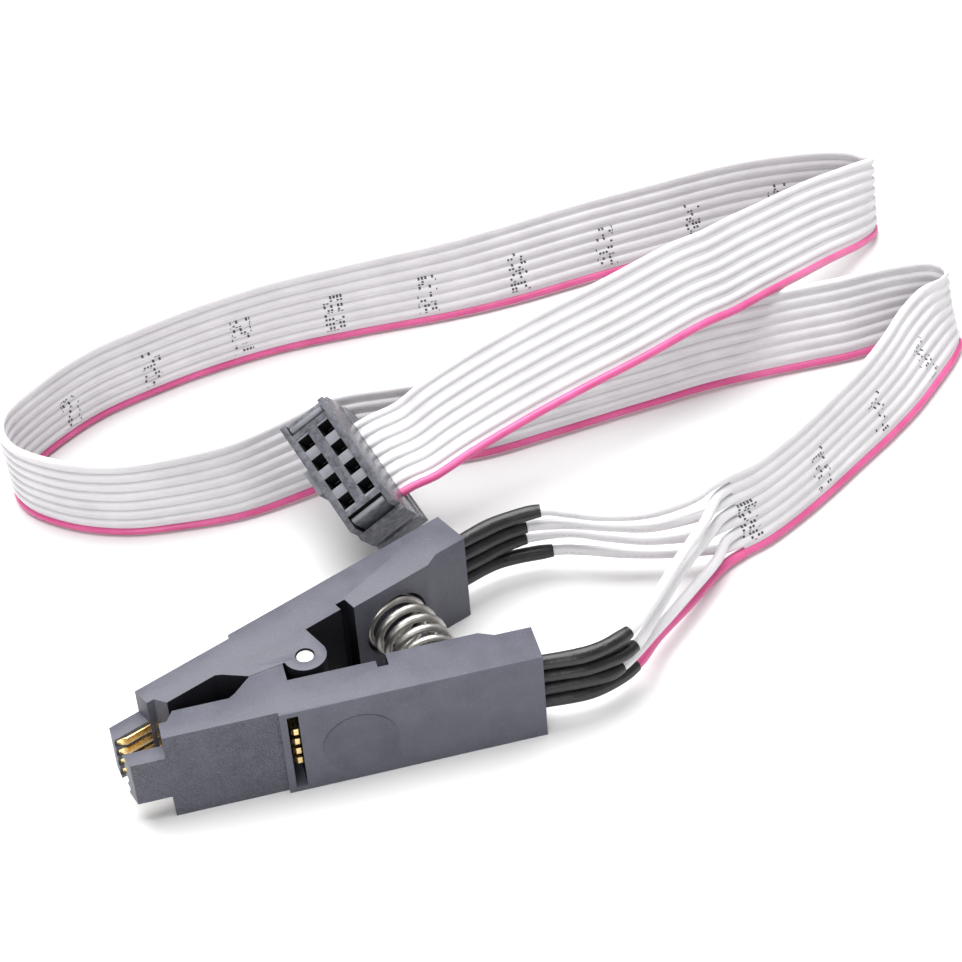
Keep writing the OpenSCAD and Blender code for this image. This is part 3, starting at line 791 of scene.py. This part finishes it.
cable_mesh, cable_line = ribbon_mesh()
cable = bpy.data.objects.new("ribbon_cable", cable_mesh)
bpy.context.scene.collection.objects.link(cable)
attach(cable, "near_half")
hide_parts("ribbon")

# The socket is moulded in dark glass-filled polyester in two parts. The body holds the
# contacts behind square holes; the cover's latches snap into the body's ends and clamp the ribbon.


def socket_plastic(name, dark, light, rough):
    """Glass-filled polyester, mottled between two greys."""
    made, tree_nodes, links, shader = new_material(name)
    place = coordinates(tree_nodes, links)
    cloud = noise_texture(tree_nodes, links, place, 1.3, 5, 0.7)
    links.new(ramp(tree_nodes, links, cloud, [(0.35, dark), (0.68, light)]), shader.inputs["Base Color"])
    links.new(
        ramp(tree_nodes, links, cloud, [(0.3, (rough,) * 3), (0.7, (rough + 0.12,) * 3)]),
        shader.inputs["Roughness"],
    )
    pitted = noise_texture(tree_nodes, links, place, 4, 4, 0.7)
    links.new(bump(tree_nodes, links, pitted, rough * 0.08 * MM), shader.inputs["Normal"])
    return made


polyester = [
    socket_plastic("socket_mottled", (0.028, 0.029, 0.037), (0.120, 0.123, 0.145), 0.5),
    socket_plastic("socket_glossy", (0.060, 0.062, 0.073), (0.105, 0.108, 0.125), 0.2),
    socket_plastic("socket_matt", (0.070, 0.072, 0.084), (0.200, 0.205, 0.225), 0.55),
    socket_plastic("socket_rib", (0.140, 0.144, 0.165), (0.180, 0.185, 0.205), 0.38),
    # Near-black: painted shade inside the square holes and slot of the body.
    socket_plastic("socket_hole_painted_shade", (0.004,) * 3, (0.008,) * 3, 0.6),
]
SLOT_TOP = -0.3 * MM
SLOT_HALF = (6.6 * MM, 2.4 * MM)
for node, name in (("socket_body", "socket_housing"), ("socket_cover", "socket_clamp")):
    part = rounded_copy(node, name, 0.08 * MM, polyester)
    for face in part.data.polygons:
        place = face.center - SOCKET_POS
        depth = place.dot(SOCKET_Z)
        inside = abs(place.dot(SOCKET_X)) < SLOT_HALF[0] and abs(place.dot(SOCKET_Y)) < SLOT_HALF[1]
        # Faces deep in the body's holes take the near-black copy: painted shade.
        if node == "socket_body" and depth < SLOT_TOP and inside:
            face.material_index = 4
        elif abs(face.normal.dot(SOCKET_Y)) > 0.7:
            face.material_index = 1
        elif abs(face.normal.dot(SOCKET_X)) > 0.7 or depth < -0.5 * MM:
            face.material_index = 2
        elif depth < -0.08 * MM:
            face.material_index = 3
    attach(part, "near_half")
    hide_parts(node)
# The forks' metal is darkened nearly to black: painted shade deep in the holes, not the colour of the metal.
fork_metal_in_shade = steel("socket_fork_painted_shade", 0.05, 0.10, 0.4)
for number in range(1, 9):
    node = f"socket_contact_{number}"
    fork = rounded_copy(node, f"socket_fork_{number}", 0.03 * MM, [fork_metal_in_shade])
    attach(fork, "near_half")
    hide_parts(node)

# The clip lies on a plain pale table under soft studio light.
floor_mesh = bpy.data.meshes.new("table_top")
floor_mesh.from_pydata([(-3, -3, 0), (3, -3, 0), (3, 3, 0), (-3, 3, 0)], [], [(0, 1, 2, 3)])
floor = bpy.data.objects.new("table_top", floor_mesh)
bpy.context.scene.collection.objects.link(floor)
pale, pale_nodes, pale_links, pale_shader = new_material("pale_table")
pale_shader.inputs["Base Color"].default_value = (0.72, 0.72, 0.72, 1)
pale_shader.inputs["Roughness"].default_value = 0.7
floor_mesh.materials.append(pale)


def soft_light(name, place, aim, size, power):
    lamp = bpy.data.lights.new(name, "AREA")
    lamp.shape = "DISK"
    lamp.size = size
    lamp.energy = power
    made = bpy.data.objects.new(name, lamp)
    made.location = place
    made.rotation_euler = (Vector(aim) - Vector(place)).to_track_quat("-Z", "Y").to_euler()
    bpy.context.scene.collection.objects.link(made)


soft_light("key", (0.05, 0.2, 0.62), (0.03, 0.02, 0), 0.8, 10.5)
soft_light("fill", (-0.3, -0.5, 0.3), (0.03, 0.02, 0), 0.4, 2)
world = bpy.data.worlds.new("studio")
world.use_nodes = True
world.node_tree.nodes["Background"].inputs["Color"].default_value = (1, 1, 1, 1)
world.node_tree.nodes["Background"].inputs["Strength"].default_value = 0.4
bpy.context.scene.world = world
bpy.context.scene.view_settings.view_transform = "Standard"

# The camera stands at the near side, a little towards the noses, and looks down.
CAMERA_POS = Vector((-58.72, -182.08, 193.89)) * MM
RIGHT = Vector((0.8953, -0.4411, -0.0620))
UP = Vector((0.3306, 0.5646, 0.7563))
camera_data = bpy.data.cameras.new("camera")
camera_data.sensor_width = 36
camera_data.lens = 103.36
camera_data.clip_start = 0.01
camera = bpy.data.objects.new("camera", camera_data)
back = RIGHT.cross(UP)
camera.matrix_world = Matrix.Translation(CAMERA_POS) @ Matrix((RIGHT, UP, back)).transposed().to_4x4()
bpy.context.scene.collection.objects.link(camera)
bpy.context.scene.camera = camera

bpy.context.view_layer.update()
